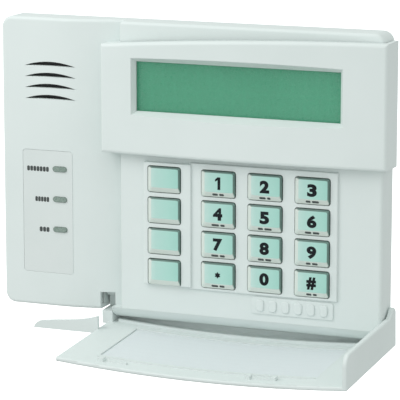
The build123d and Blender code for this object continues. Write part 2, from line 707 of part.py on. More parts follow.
def closed_door():
    """Door drawn shut: crowned panel, lower wall, flange, arm and pull."""
    inner = RAISED_END_DEPTH + SKIN
    panel = crown_band(RAISED_LEFT_X, RAISED_RIGHT_X, RAISED_END_DEPTH, inner, DOOR_BOTTOM_Z, DOOR_TOP_Z)
    lip_top = DOOR_BOTTOM_Z + SKIN
    panel += crown_block(RAISED_LEFT_X, RAISED_RIGHT_X, inner - 0.2, LIP_BACK, DOOR_BOTTOM_Z, lip_top)
    panel += door_flange()
    outer = panel.edges().filter_by(on_door_rim)
    panel = fillet(outer, DOOR_EDGE_R)
    panel += door_arm()
    panel += door_pull()
    floor = inner - CARD_RECESS
    panel -= crown_band(CARD_X0, CARD_X1, floor, inner + 0.1, CARD_Z0, CARD_Z1)
    panel += crown_band(CARD_X0, CARD_X1, inner - 0.1, inner + 0.4, CARD_Z1 + 2.6, CARD_Z1 + 3.4)
    panel += crown_band(RAISED_LEFT_X + 4, NOSE_X1 + 1, inner - 0.1, inner + RIDGE_H, RIDGE_Z0, RIDGE_Z1)
    for x0, x1 in LATCH_BARS:
        panel += crown_band(x0, x1, inner - 0.1, inner + LATCH_BAR_H, LATCH_Z0, LATCH_Z1)
    for x0, x1 in LATCH_TABS:
        panel += crown_band(x0, x1, inner - 0.1, inner + LATCH_TAB_H, LATCH_Z0 - 0.8, LATCH_Z1 + 0.8)
    return panel


def door_card():
    """Printed card lying in the recess inside the door."""
    floor = RAISED_END_DEPTH + SKIN - CARD_RECESS
    return crown_band(CARD_X0 + 0.3, CARD_X1 - 0.3, floor, floor + CARD_T, CARD_Z0 + 0.3, CARD_Z1 - 0.3)


def swung_open(shape):
    """Turn a shape about the hinge, from closed to resting on the stop."""
    hinge = Axis((0, d(HINGE_DEPTH), HINGE_Z), (1, 0, 0))
    return shape.rotate(hinge, DOOR_OPEN_DEG)


def make_parts():
    """Every piece of the panel, by node name."""
    keys = key_layout()
    parts = {
        "rear_case": make_rear_case(),
        "front_case": make_front_case(),
        "display_bezel": make_display_bezel(),
        "key_mat": make_key_mat(keys),
        "nameplate": rounded_block(PLATE_X0, PLATE_X1, -PLATE_T, 0, PLATE_Z0, PLATE_Z1, 1.0),
        "door": swung_open(closed_door()),
        "door_card": swung_open(door_card()),
    }
    parts.update(make_lcd())
    parts.update(make_wing_parts(parts["front_case"]))
    parts.update(make_board_parts(keys))
    for name, left, top, width, face in keys:
        parts[name] = make_key(left, top, width, face)
        x = left + width / 2
        z = top - KEY_H / 2
        parts[f"{name}_contact"] = round_y(x, z, PILL_R, KEY_FLANGE_BACK, PILL_BACK)
    return parts


os.makedirs("parts", exist_ok=True)
for node, shape in make_parts().items():
    export_step(shape, f"parts/{node}.step")
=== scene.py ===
import json
import math

import bmesh
import bpy
from mathutils import Matrix, Vector


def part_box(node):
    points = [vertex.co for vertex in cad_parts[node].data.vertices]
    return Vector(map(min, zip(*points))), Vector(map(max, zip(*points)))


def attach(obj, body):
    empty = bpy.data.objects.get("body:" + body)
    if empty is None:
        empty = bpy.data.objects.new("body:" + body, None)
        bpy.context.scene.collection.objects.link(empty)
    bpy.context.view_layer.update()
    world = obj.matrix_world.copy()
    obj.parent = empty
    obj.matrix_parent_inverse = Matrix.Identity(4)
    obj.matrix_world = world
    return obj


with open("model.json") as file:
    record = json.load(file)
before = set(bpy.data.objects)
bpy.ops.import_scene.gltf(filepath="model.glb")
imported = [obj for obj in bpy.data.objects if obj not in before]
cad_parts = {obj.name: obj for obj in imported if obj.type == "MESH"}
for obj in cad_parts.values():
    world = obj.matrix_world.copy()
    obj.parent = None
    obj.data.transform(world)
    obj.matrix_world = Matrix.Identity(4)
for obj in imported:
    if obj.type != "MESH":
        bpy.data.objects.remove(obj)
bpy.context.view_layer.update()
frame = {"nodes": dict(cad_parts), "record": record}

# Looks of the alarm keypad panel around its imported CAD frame.
# Lengths are metres in the CAD frame: +X right, +Y into the wall, +Z up.
MM = 0.001

# Camera: long lens, from the right of the panel and a little above it
CAMERA_TARGET = Vector((6.04, -22.5, -11.73)) * MM
CAMERA_AZIMUTH = math.radians(21.79)
CAMERA_ELEVATION = math.radians(11.12)
CAMERA_DISTANCE = 1.1247
CAMERA_LENS = 225.0
CAMERA_SENSOR = 36.0

# Studio
FLOOR_Z = -0.35
FLOOR_HALF = 9.0
KEY_LIGHT_PLACE = Vector((-0.36, -0.42, 0.40))
KEY_LIGHT_SIZE = 0.40
KEY_LIGHT_POWER = 1.4
SKY_COLOUR = (0.955, 1.0, 0.985, 1)
SKY_BRIGHT = 0.91
SKY_DIM = 0.47
SKY_TOWARDS = Vector((0.05, -0.30, 0.95))

# Colours of the moulded shells
SHELL_PALE = (0.790, 0.845, 0.835)
SHELL_DEEP = (0.762, 0.820, 0.808)
# Painted highlight colour along the shells' sharp edges
SHELL_EDGE_HIGHLIGHT = (0.86, 0.885, 0.875)

# Character cells of the display, and the part of its pitch each one fills on either side of its middle
CELL_PITCH_X = 5.6 * MM
CELL_PITCH_Z = 9.6 * MM
CELL_HALF_X = 0.38
CELL_HALF_Z = 0.42

# Ruled lines of the door card
RULE_PITCH = 5.2 * MM

# Colours of the keys: pale on the broad slopes, the left slope lightened as painted highlight; painted shade
# on the narrow flanks above and right
KEY_SLOPE_PALE_LIT = (0.74, 0.80, 0.75)
KEY_FLANK_SHADE = (0.10, 0.15, 0.13)

# Shape of the keys, as in the CAD: the hidden flange and the slopes round the flat face
KEY_FLANGE = 0.8 * MM
BEVEL_LEFT = 1.9 * MM
BEVEL_BOTTOM = 2.3 * MM
BEVEL_SMALL = 0.5 * MM

# Figures printed on the keys; outlines are in fractions of their width and height
DIGIT_H = 5.7 * MM
DIGIT_W = 4.5 * MM
DIGIT_SHIFT = Vector((-0.45, 0, -0.35)) * MM
BOLDNESS = 0.055
STAR_SIZE = 3.0 * MM
STAR_ARMS = 6
STAR_WAIST = 0.62
ONE_W = 2.5 * MM
FIGURE_ONE = [
    (0.5, -0.5),
    (0.5, 0.5),
    (-0.04, 0.5),
    (-0.5, 0.30),
    (-0.5, 0.14),
    (-0.02, 0.27),
    (-0.02, -0.5),
]
INK_RAISE = 0.03 * MM
SMALL_INK_RAISE = 0.2 * INK_RAISE
INK_T = 0.05 * MM
WELD_DISTANCE = 1e-7
RAY_START_Y = -0.2

# Blank legends on the keys' lower slopes: the widths, in mm, of the two bars of each
LEGEND_H = 1.15 * MM
LEGEND_GAP = 0.7 * MM
LEGEND_WORDS = {
    "key_1": [2.6, 2.2],
    "key_2": [3.0, 1.6],
    "key_3": [2.2, 3.2],
    "key_4": [3.6, 2.0],
    "key_5": [2.4, 3.4],
    "key_6": [3.0, 3.0],
    "key_7": [3.4, 2.4],
    "key_8": [2.8, 2.8],
    "key_9": [2.2, 2.6],
    "key_star": [3.2, 2.4],
    "key_hash": [2.4, 1.8],
}

# Printing on the wing label: one row of small bars beside each status light
STATUS_MARK_STARTS = [-80.0 * MM, -76.0 * MM, -74.0 * MM]
STATUS_MARK_END = -68.8 * MM
STATUS_MARK_H = 2.3 * MM
STATUS_MARK_DROP = 0.45 * MM
STATUS_STROKE_PITCH = 1.55 * MM
STATUS_STROKE_SHARE = 0.84
PIPE_FLANGE = 1.0 * MM
LENS_HALF_H = 1.3 * MM

# Even raised blank strokes of the nameplate, and the share of the pitch each one fills
PLATE_MARGIN = 1.3 * MM
PLATE_STROKE_COUNT = 6
PLATE_STROKE_SHARE = 0.6
PLATE_STROKE_H = 5.4 * MM
PLATE_STROKE_T = 0.7 * MM
PLATE_STROKE_CROWN = 0.3 * MM

# Rounded bars: corner radius as a share of the half width, and the height where the crown starts
BAR_ROUNDNESS = 0.8
BAR_SHOULDER = 0.6
BAR_CROWN_LIMIT = 0.7

# Turns flat artwork, drawn in x and y, to face the front: x stays, y goes up
FACING_FRONT = Matrix(((1, 0, 0, 0), (0, 0, -1, 0), (0, 1, 0, 0), (0, 0, 0, 1)))

KEY_MARKS = {
    "key_1": "1",
    "key_2": "2",
    "key_3": "3",
    "key_4": "4",
    "key_5": "5",
    "key_6": "6",
    "key_7": "7",
    "key_8": "8",
    "key_9": "9",
    "key_star": "*",
    "key_0": "0",
    "key_hash": "#",
}


# ---------------------------------------------------------------- node helpers


def new_material(name):
    """Material with a Principled shader, and that shader."""
    material = bpy.data.materials.new(name)
    material.use_nodes = True
    return material, material.node_tree, material.node_tree.nodes["Principled BSDF"]


def coordinates(tree, kind="Object"):
    return tree.nodes.new("ShaderNodeTexCoord").outputs[kind]


def stretched(tree, vector, scale):
    """Coordinates scaled by a different amount along each axis."""
    mapping = tree.nodes.new("ShaderNodeMapping")
    mapping.inputs["Scale"].default_value = scale
    tree.links.new(vector, mapping.inputs["Vector"])
    return mapping.outputs["Vector"]


def noise(tree, vector, scale, detail=2.0, roughness=0.5):
    texture = tree.nodes.new("ShaderNodeTexNoise")
    texture.inputs["Scale"].default_value = scale
    texture.inputs["Detail"].default_value = detail
    texture.inputs["Roughness"].default_value = roughness
    tree.links.new(vector, texture.inputs["Vector"])
    return texture.outputs["Fac"]


def cells(tree, vector, scale, output="Distance"):
    texture = tree.nodes.new("ShaderNodeTexVoronoi")
    texture.inputs["Scale"].default_value = scale
    tree.links.new(vector, texture.inputs["Vector"])
    return texture.outputs[output]


def ramp(tree, factor, stops):
    """Colour ramp through (place, (r, g, b)) stops."""
    node = tree.nodes.new("ShaderNodeValToRGB")
    elements = node.color_ramp.elements
    elements[0].position, elements[0].color = stops[0][0], (*stops[0][1], 1)
    elements[1].position, elements[1].color = stops[-1][0], (*stops[-1][1], 1)
    for place, colour in stops[1:-1]:
        elements.new(place).color = (*colour, 1)
    tree.links.new(factor, node.inputs["Fac"])
    return node.outputs["Color"]


def remap(tree, value, from_low, from_high, to_low, to_high):
    node = tree.nodes.new("ShaderNodeMapRange")
    for name, number in (
        ("From Min", from_low), ("From Max", from_high), ("To Min", to_low), ("To Max", to_high)
    ):
        node.inputs[name].default_value = number
    tree.links.new(value, node.inputs["Value"])
    return node.outputs["Result"]


def maths(tree, operation, first, second=0.0):
    node = tree.nodes.new("ShaderNodeMath")
    node.operation = operation
    for socket, value in zip(node.inputs, (first, second)):
        if isinstance(value, (int, float)):
            socket.default_value = value
        else:
            tree.links.new(value, socket)
    return node.outputs["Value"]


def axis_of(tree, vector, axis):
    node = tree.nodes.new("ShaderNodeSeparateXYZ")
    tree.links.new(vector, node.inputs["Vector"])
    return node.outputs[axis]


def repeated(tree, value, pitch):
    """0 to 1 over each pitch of a length."""
    return maths(tree, "FRACT", maths(tree, "MULTIPLY", value, 1 / pitch))


def near_middle(tree, value, half):
    """1 where a 0 to 1 value is within this of its middle."""
    return maths(tree, "LESS_THAN", maths(tree, "ABSOLUTE", maths(tree, "SUBTRACT", value, 0.5)), half)


def blend_colours(tree, factor, first, second, blend="MIX"):
    """Mix two colours, each a socket or an (r, g, b)."""
    node = tree.nodes.new("ShaderNodeMix")
    node.data_type = "RGBA"
    node.blend_type = blend
    sockets = [s for s in node.inputs if s.type == "RGBA"]
    factor_socket = node.inputs[0]
    if isinstance(factor, (int, float)):
        factor_socket.default_value = factor
    else:
        tree.links.new(factor, factor_socket)
    for socket, colour in zip(sockets, (first, second)):
        if isinstance(colour, tuple):
            socket.default_value = (*colour, 1)
        else:
            tree.links.new(colour, socket)
    return [s for s in node.outputs if s.type == "RGBA"][0]


def rounded_normal(tree, radius):
    """Normal that rounds sharp edges over this radius."""
    node = tree.nodes.new("ShaderNodeBevel")
    node.samples = 4
    node.inputs["Radius"].default_value = radius
    return node.outputs["Normal"]


def bump(tree, shader, height, distance, strength=1.0, normal=None):
    node = tree.nodes.new("ShaderNodeBump")
    node.inputs["Distance"].default_value = distance
    node.inputs["Strength"].default_value = strength
    tree.links.new(height, node.inputs["Height"])
    if normal is not None:
        tree.links.new(normal, node.inputs["Normal"])
    tree.links.new(node.outputs["Normal"], shader.inputs["Normal"])


def edge_mask(tree, normal):
    """1 along sharp edges, 0 on open faces."""
    geometry = tree.nodes.new("ShaderNodeNewGeometry")
    product = tree.nodes.new("ShaderNodeVectorMath")
    product.operation = "DOT_PRODUCT"
    tree.links.new(normal, product.inputs[0])
    tree.links.new(geometry.outputs["True Normal"], product.inputs[1])
    return remap(tree, product.outputs["Value"], 1.0, 0.75, 0.0, 1.0)


# ---------------------------------------------------------------- materials


def moulded_plastic(
    name, pale, deep, edge_highlight, roughness, grain=2600.0, grain_depth=0.012 * MM, edge=0.35 * MM
):
    """Satin moulded shell: slow colour drift, fine spark-eroded grain, edges rubbed smooth and lightened by
    a painted highlight.
    """
    material, tree, shader = new_material(name)
    place = coordinates(tree)
    drift = ramp(tree, noise(tree, place, 22.0, 3.0), [(0.35, deep), (0.65, pale)])
    softened = rounded_normal(tree, edge)
    edges = edge_mask(tree, softened)
    # Painted highlight: sharp edges are mixed towards a lighter colour, broken up by noise
    edge_highlight_patches = maths(tree, "MULTIPLY", edges, noise(tree, place, 140.0, 2.0))
    colour = blend_colours(tree, edge_highlight_patches, drift, edge_highlight)
    tree.links.new(colour, shader.inputs["Base Color"])
    patches = remap(tree, noise(tree, place, 65.0, 3.0), 0.3, 0.7, roughness - 0.05, roughness + 0.06)
    rubbed = maths(tree, "SUBTRACT", patches, maths(tree, "MULTIPLY", edges, 0.12))
    tree.links.new(rubbed, shader.inputs["Roughness"])
    grain_height = noise(tree, place, grain, 2.0, 0.6)
    bump(tree, shader, grain_height, grain_depth, 0.8, softened)
    shader.inputs["Specular IOR Level"].default_value = 0.35
    return material


def key_rubber():
    """Silicone key: tinted face lightening towards the left as painted light, pale slopes at the left and
    below (the left one a painted highlight), painted shade on the flanks above and right.
    """
    material, tree, shader = new_material("key_rubber")
    place = coordinates(tree)
    across = axis_of(tree, coordinates(tree, "Generated"), "X")
    cloud = maths(tree, "MULTIPLY", noise(tree, place, 380.0, 2.0), 0.16)
    # Face tint lightens from right to left across the key: teal tint plus painted light falling from the
    # left
    tint = ramp(
        tree,
        maths(tree, "ADD", across, maths(tree, "SUBTRACT", cloud, 0.08)),
        [
            (0.12, (0.60, 0.79, 0.74)),
            (0.30, (0.50, 0.745, 0.685)),
            (0.62, (0.455, 0.74, 0.665)),
            (0.92, (0.40, 0.70, 0.62)),
        ],
    )
    facing_x = axis_of(tree, coordinates(tree, "Normal"), "X")
    facing_z = axis_of(tree, coordinates(tree, "Normal"), "Z")
    # Pale colour on the lower and left slopes; on the left slope it stands in as a painted highlight
    low_slope = remap(tree, facing_z, -0.12, -0.34, 0.0, 1.0)
    left_slope = remap(tree, facing_x, -0.12, -0.38, 0.0, 1.0)
    with_pale_slopes = blend_colours(tree, maths(tree, "MAXIMUM", low_slope, left_slope), tint, KEY_SLOPE_PALE_LIT)
    # Painted shade: the narrow flanks above and right are darkened in colour to stand in for the shadow in
    # the gaps there
    top_flank = remap(tree, facing_z, 0.30, 0.75, 0.0, 1.0)
    right_flank = remap(tree, facing_x, 0.30, 0.75, 0.0, 1.0)
    painted_flank_shade = maths(tree, "MULTIPLY", maths(tree, "MAXIMUM", top_flank, right_flank), 0.85)
    tree.links.new(blend_colours(tree, painted_flank_shade, with_pale_slopes, KEY_FLANK_SHADE), shader.inputs["Base Color"])
    patches = remap(tree, noise(tree, place, 300.0, 2.0), 0.3, 0.7, 0.40, 0.54)
    tree.links.new(patches, shader.inputs["Roughness"])
    bump(tree, shader, noise(tree, place, 3200.0, 2.0), 0.008 * MM, 0.6, rounded_normal(tree, 0.25 * MM))
    shader.inputs["Specular IOR Level"].default_value = 0.4
    shader.inputs["Sheen Weight"].default_value = 0.08
    shader.inputs["Sheen Roughness"].default_value = 0.5
    return material


def lcd_glass():
    """Blank green liquid-crystal panel with its faint rows of character cells."""
    material, tree, shader = new_material("lcd_glass")
    place = coordinates(tree)
    column = repeated(tree, axis_of(tree, place, "X"), CELL_PITCH_X)
    row = repeated(tree, axis_of(tree, place, "Z"), CELL_PITCH_Z)
    in_column = near_middle(tree, column, CELL_HALF_X)
    in_row = near_middle(tree, row, CELL_HALF_Z)
    cell = maths(tree, "MULTIPLY", in_column, in_row)
    drift = ramp(
        tree, noise(tree, place, 30.0, 2.0), [(0.3, (0.046, 0.245, 0.142)), (0.7, (0.054, 0.268, 0.158))]
    )
    faint = maths(tree, "MULTIPLY", cell, 0.10)
    colour = blend_colours(tree, faint, drift, (0.036, 0.19, 0.11))
    tree.links.new(colour, shader.inputs["Base Color"])
    tree.links.new(colour, shader.inputs["Emission Color"])
    shader.inputs["Emission Strength"].default_value = 0.35
    polish = remap(tree, noise(tree, place, 900.0, 2.0), 0.3, 0.7, 0.26, 0.34)
    tree.links.new(polish, shader.inputs["Roughness"])
    return material


def clear_plastic(name, tint, alpha, roughness):
    """Thin clear sheet with polishing marks and a trace of dust."""
    material, tree, shader = new_material(name)
    place = coordinates(tree)
    dust = noise(tree, place, 700.0, 3.0)
    colour = ramp(tree, dust, [(0.3, tint), (0.8, tuple(0.9 * value for value in tint))])
    tree.links.new(colour, shader.inputs["Base Color"])
    tree.links.new(remap(tree, dust, 0.3, 0.8, alpha, alpha + 0.05), shader.inputs["Alpha"])
    smear = noise(tree, stretched(tree, place, (1, 1, 6)), 80.0, 3.0)
    tree.links.new(remap(tree, smear, 0.3, 0.7, roughness, roughness + 0.10), shader.inputs["Roughness"])
    return material


def printed_card():
    """Pale coated card with paper fibres and faint ruled lines."""
    material, tree, shader = new_material("card_paper")
    place = coordinates(tree)
    fibres = noise(tree, stretched(tree, place, (1, 3, 1)), 900.0, 4.0, 0.7)
    paper = ramp(tree, fibres, [(0.3, (0.755, 0.805, 0.825)), (0.7, (0.80, 0.845, 0.86))])
    ruled = repeated(tree, axis_of(tree, place, "Y"), RULE_PITCH)
    line = maths(tree, "LESS_THAN", ruled, 0.06)
    colour = blend_colours(tree, maths(tree, "MULTIPLY", line, 0.14), paper, (0.60, 0.64, 0.68))
    tree.links.new(colour, shader.inputs["Base Color"])
    tree.links.new(remap(tree, fibres, 0.3, 0.7, 0.48, 0.60), shader.inputs["Roughness"])
    bump(tree, shader, fibres, 0.01 * MM, 0.5)
    return material


def label_film():
    """Thin matt film label on the wing."""
    material, tree, shader = new_material("label_plastic")
    place = coordinates(tree)
    weave = noise(tree, place, 1900.0, 2.0)
    drift = noise(tree, place, 35.0, 3.0)
    colour = ramp(tree, drift, [(0.35, (0.725, 0.775, 0.765)), (0.65, (0.755, 0.80, 0.79))])
    tree.links.new(colour, shader.inputs["Base Color"])
    tree.links.new(remap(tree, weave, 0.3, 0.7, 0.40, 0.52), shader.inputs["Roughness"])
    bump(tree, shader, weave, 0.006 * MM, 0.5)
    return material


def light_pipe():
    """Frosted unlit lens: darker towards its rim, with a soft core."""
    material, tree, shader = new_material("light_pipe")
    place = coordinates(tree)
    frost = noise(tree, place, 1500.0, 3.0)
    colour = ramp(tree, frost, [(0.3, (0.20, 0.27, 0.235)), (0.7, (0.29, 0.36, 0.32))])
    softened = rounded_normal(tree, 0.5 * MM)
    rim = blend_colours(tree, edge_mask(tree, softened), colour, (0.10, 0.14, 0.12))
    tree.links.new(rim, shader.inputs["Base Color"])
    tree.links.new(remap(tree, frost, 0.3, 0.7, 0.18, 0.34), shader.inputs["Roughness"])
    bump(tree, shader, frost, 0.01 * MM, 0.4, softened)
    shader.inputs["Coat Weight"].default_value = 0.3
    return material


def circuit_board():
    """Green solder mask over copper: tracks, ground areas and bright pads."""
    material, tree, shader = new_material("circuit_board")
    place = coordinates(tree)
    wave = tree.nodes.new("ShaderNodeTexWave")
    wave.inputs["Scale"].default_value = 170.0
    wave.inputs["Distortion"].default_value = 5.0
    wave.inputs["Detail"].default_value = 1.0
    wave.inputs["Detail Scale"].default_value = 0.4
    tree.links.new(stretched(tree, place, (1, 0, 1)), wave.inputs["Vector"])
    track = remap(tree, wave.outputs["Fac"], 0.62, 0.68, 0.0, 1.0)
    area = remap(tree, noise(tree, place, 55.0, 1.0), 0.47, 0.50, 0.0, 1.0)
    copper = maths(tree, "MAXIMUM", maths(tree, "MULTIPLY", track, 0.8), area)
    mask = blend_colours(tree, copper, (0.018, 0.115, 0.045), (0.035, 0.20, 0.075))
    pad = maths(tree, "LESS_THAN", cells(tree, stretched(tree, place, (1, 0, 1)), 330.0), 0.16)
    colour = blend_colours(tree, pad, mask, (0.62, 0.60, 0.55))
    tree.links.new(colour, shader.inputs["Base Color"])
    tree.links.new(pad, shader.inputs["Metallic"])
    tree.links.new(remap(tree, noise(tree, place, 1200.0), 0.3, 0.7, 0.26, 0.38), shader.inputs["Roughness"])
    bump(tree, shader, copper, 0.03 * MM, 0.7)
    return material


def worked_metal(name, pale, deep, roughness, stretch):
    """Bare metal with fine directional scratches."""
    material, tree, shader = new_material(name)
    place = coordinates(tree)
    lines = noise(tree, stretched(tree, place, stretch), 900.0, 4.0, 0.7)
    tree.links.new(ramp(tree, lines, [(0.25, deep), (0.75, pale)]), shader.inputs["Base Color"])
    scratched = remap(tree, lines, 0.25, 0.75, roughness - 0.06, roughness + 0.08)
    tree.links.new(scratched, shader.inputs["Roughness"])
    shader.inputs["Metallic"].default_value = 1.0
    bump(tree, shader, lines, 0.008 * MM, 0.5, rounded_normal(tree, 0.15 * MM))
    return material


def soft_sheet(name, pale, deep, roughness, scale, depth):
    """Rubber, foam or carbon print: mottled, with small pores."""
    material, tree, shader = new_material(name)
    place = coordinates(tree)
    pores = cells(tree, place, scale)
    mottle = noise(tree, place, scale * 0.3, 3.0)
    tree.links.new(ramp(tree, mottle, [(0.3, deep), (0.7, pale)]), shader.inputs["Base Color"])
    open_pores = remap(tree, pores, 0.0, 0.8, roughness - 0.08, roughness + 0.08)
    tree.links.new(open_pores, shader.inputs["Roughness"])
    bump(tree, shader, pores, depth, 0.7)
    return material


def light_chip():
    """Small clear chip with a yellow phosphor spot in it."""
    material, tree, shader = new_material("led_chip")
    place = coordinates(tree)
    spot = remap(tree, cells(tree, place, 500.0), 0.25, 0.55, 1.0, 0.0)
    colour = blend_colours(tree, spot, (0.82, 0.82, 0.76), (0.80, 0.66, 0.18))
    tree.links.new(colour, shader.inputs["Base Color"])
    polish = remap(tree, noise(tree, place, 2000.0), 0.3, 0.7, 0.12, 0.24)
    tree.links.new(polish, shader.inputs["Roughness"])
    return material


def printing_ink():
    """Black screen ink, a little uneven."""
    material, tree, shader = new_material("print_ink")
    coat = noise(tree, coordinates(tree), 1800.0, 3.0)
    colour = ramp(tree, coat, [(0.3, (0.006, 0.008, 0.010)), (0.7, (0.022, 0.026, 0.030))])
    tree.links.new(colour, shader.inputs["Base Color"])
    tree.links.new(remap(tree, coat, 0.3, 0.7, 0.45, 0.62), shader.inputs["Roughness"])
    shader.inputs["Specular IOR Level"].default_value = 0.12
    return material


def legend_ink():
    """Grey screen ink of the small markings."""
    material, tree, shader = new_material("legend_ink")
    coat = noise(tree, coordinates(tree), 1500.0, 3.0)
    colour = ramp(tree, coat, [(0.3, (0.040, 0.048, 0.048)), (0.7, (0.085, 0.095, 0.092))])
    tree.links.new(colour, shader.inputs["Base Color"])
    tree.links.new(remap(tree, coat, 0.3, 0.7, 0.40, 0.60), shader.inputs["Roughness"])
    return material


def make_materials():
    """Every finish, by the record's material slot."""
    return {
        "case_plastic": moulded_plastic("case_plastic", SHELL_PALE, SHELL_DEEP, SHELL_EDGE_HIGHLIGHT, 0.42),
        "back_plastic": moulded_plastic(
            "back_plastic", (0.73, 0.775, 0.765), (0.69, 0.735, 0.725), SHELL_EDGE_HIGHLIGHT, 0.55, 1500.0, 0.02 * MM
        ),
        "plate_plastic": moulded_plastic(
            "plate_plastic", SHELL_PALE, SHELL_DEEP, SHELL_EDGE_HIGHLIGHT, 0.30, 3200.0, 0.006 * MM, 0.2 * MM
        ),
        "card_paper": printed_card(),
        "mat_silicone": soft_sheet(
            "mat_silicone", (0.62, 0.64, 0.60), (0.54, 0.56, 0.52), 0.6, 900.0, 0.02 * MM
        ),
        "key_rubber": key_rubber(),
        "contact_carbon": soft_sheet(
            "contact_carbon", (0.03, 0.03, 0.032), (0.012, 0.012, 0.012), 0.7, 1500.0, 0.01 * MM
        ),
        "window_plastic": clear_plastic("window_plastic", (0.40, 0.60, 0.50), 0.02, 0.04),
        "frame_metal": worked_metal(
            "frame_metal", (0.72, 0.72, 0.71), (0.52, 0.52, 0.52), 0.32, (1, 8, 8)
        ),
        "lcd_glass": lcd_glass(),
        "light_guide": clear_plastic("light_guide", (0.80, 0.90, 0.74), 0.75, 0.25),
        "circuit_board": circuit_board(),
        "pin_metal": worked_metal("pin_metal", (0.86, 0.70, 0.36), (0.66, 0.50, 0.22), 0.25, (6, 1, 6)),
        "label_plastic": label_film(),
        "light_pipe": light_pipe(),
        "led_chip": light_chip(),
        "black_plastic": moulded_plastic(
            "black_plastic", (0.030, 0.030, 0.032), (0.018, 0.018, 0.019), (0.07, 0.07, 0.07), 0.40, 2000.0
        ),
        "gasket_foam": soft_sheet(
            "gasket_foam", (0.10, 0.10, 0.10), (0.05, 0.05, 0.05), 0.85, 1100.0, 0.12 * MM
        ),
        "can_metal": worked_metal("can_metal", (0.82, 0.82, 0.84), (0.66, 0.66, 0.68), 0.24, (1, 1, 7)),
        "terminal_plastic": moulded_plastic(
            "terminal_plastic", (0.045, 0.30, 0.13), (0.030, 0.23, 0.10), (0.12, 0.40, 0.22), 0.34, 1800.0
        ),
    }


def paint_nodes(materials):
    """Give every CAD node the finish its material slot names."""
    for subpart in frame["record"]["subparts"]:
        node = frame["nodes"][subpart["node"]]
        for slot in node.material_slots:
            slot.material = materials[subpart["material_slot"]]


# ---------------------------------------------------------------- printed and raised pieces


def new_piece(name, mesh, material, body):
    """Mesh object that rides on a CAD body."""
    mesh.materials.clear()
    mesh.materials.append(material)
    piece = bpy.data.objects.new(name, mesh)
    bpy.context.scene.collection.objects.link(piece)
    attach(piece, body)
    return piece


def surface_frame(node, start, towards, up):
    """Matrix that stands flat artwork where a ray meets a node, with its y running up the surface."""
    hit, place, normal, _ = frame["nodes"][node].ray_cast(start, towards)
    if not hit:
        raise RuntimeError("no surface of " + node + " under its printing")
    if normal.dot(towards) > 0:
        normal = -normal
    upward = (up - normal * up.dot(normal)).normalized()
    across = upward.cross(normal)
    turn = Matrix((across, upward, normal)).transposed().to_4x4()
    return Matrix.Translation(place) @ turn


def on_front(node, x, z):
    return surface_frame(node, Vector((x, RAY_START_Y, z)), Vector((0, 1, 0)), Vector((0, 0, 1)))


def glyph_mesh(text, width, height):
    """One bold character as a thin solid, centred, with this size."""
    curve = bpy.data.curves.new("glyph", "FONT")
    curve.body = text
    curve.size = 1.0
    curve.offset = BOLDNESS
    curve.extrude = 0.5
    curve.resolution_u = 6
    holder = bpy.data.objects.new("glyph", curve)
    bpy.context.scene.collection.objects.link(holder)
    graph = bpy.context.evaluated_depsgraph_get()
    mesh = bpy.data.meshes.new_from_object(holder.evaluated_get(graph))
    bpy.data.objects.remove(holder)
    bpy.data.curves.remove(curve)
    low = Vector(min(v.co[i] for v in mesh.vertices) for i in range(3))
    high = Vector(max(v.co[i] for v in mesh.vertices) for i in range(3))
    size = high - low
    centre = (low + high) / 2
    scale = Vector((width / size.x, height / size.y, INK_T / size.z))
    for vertex in mesh.vertices:
        offset = vertex.co - centre
        vertex.co = Vector((offset.x * scale.x, offset.y * scale.y, offset.z * scale.z))
    weld = bmesh.new()
    weld.from_mesh(mesh)
    bmesh.ops.remove_doubles(weld, verts=weld.verts, dist=WELD_DISTANCE)
    bmesh.ops.recalc_face_normals(weld, faces=weld.faces)
    weld.to_mesh(mesh)
    weld.free()
    return mesh


def outline_mesh(points, width, height):
    """Thin solid from a closed outline given in fractions of its width and height."""
    shape = bmesh.new()
    rings = []
    for level in (0.0, INK_T):
        rings.append([shape.verts.new((x * width, y * height, level)) for x, y in points])
    count = len(points)
    for i in range(count):
        j = (i + 1) % count
        shape.faces.new((rings[0][i], rings[0][j], rings[1][j], rings[1][i]))
    shape.faces.new(rings[1])
    shape.faces.new(list(reversed(rings[0])))
    mesh = bpy.data.meshes.new("outline")
    shape.to_mesh(mesh)
    shape.free()
    return mesh


def star_outline():
    """Short-armed star, in fractions of its size."""
    points = []
    for corner in range(2 * STAR_ARMS):
        radius = 0.5 if corner % 2 == 0 else 0.5 * STAR_WAIST
        angle = math.pi / 2 + corner * math.pi / STAR_ARMS
        points.append((radius * math.cos(angle), radius * math.sin(angle)))
    return points


def add_bar(shape, x, y, width, height, thickness, round_steps=4, crown=0.0):
    """Add one bar with rounded ends to a bmesh, standing on its z = 0 plane."""
    radius = min(width, height) / 2 * BAR_ROUNDNESS
    corners = [
        (width / 2 - radius, height / 2 - radius, 0),
        (-width / 2 + radius, height / 2 - radius, 1),
        (-width / 2 + radius, -height / 2 + radius, 2),
        (width / 2 - radius, -height / 2 + radius, 3),
    ]
    outline = []
    for corner_x, corner_y, quarter in corners:
        for step in range(round_steps + 1):
            angle = (quarter + step / round_steps) * math.pi / 2
            outline.append((corner_x + radius * math.cos(angle), corner_y + radius * math.sin(angle)))
    shrink_at_top = min(crown, radius * BAR_CROWN_LIMIT)
    rings = []
    for level, shrink in ((0.0, 0.0), (thickness * BAR_SHOULDER, 0.0), (thickness, shrink_at_top)):
        factor_x = 1 - shrink / (width / 2)
        factor_y = 1 - shrink / (height / 2)
        rings.append([shape.verts.new((x + px * factor_x, y + py * factor_y, level)) for px, py in outline])
    count = len(outline)
    for lower, upper in zip(rings, rings[1:]):
        for i in range(count):
            j = (i + 1) % count
            shape.faces.new((lower[i], lower[j], upper[j], upper[i]))
    shape.faces.new(rings[-1])
    shape.faces.new(list(reversed(rings[0])))


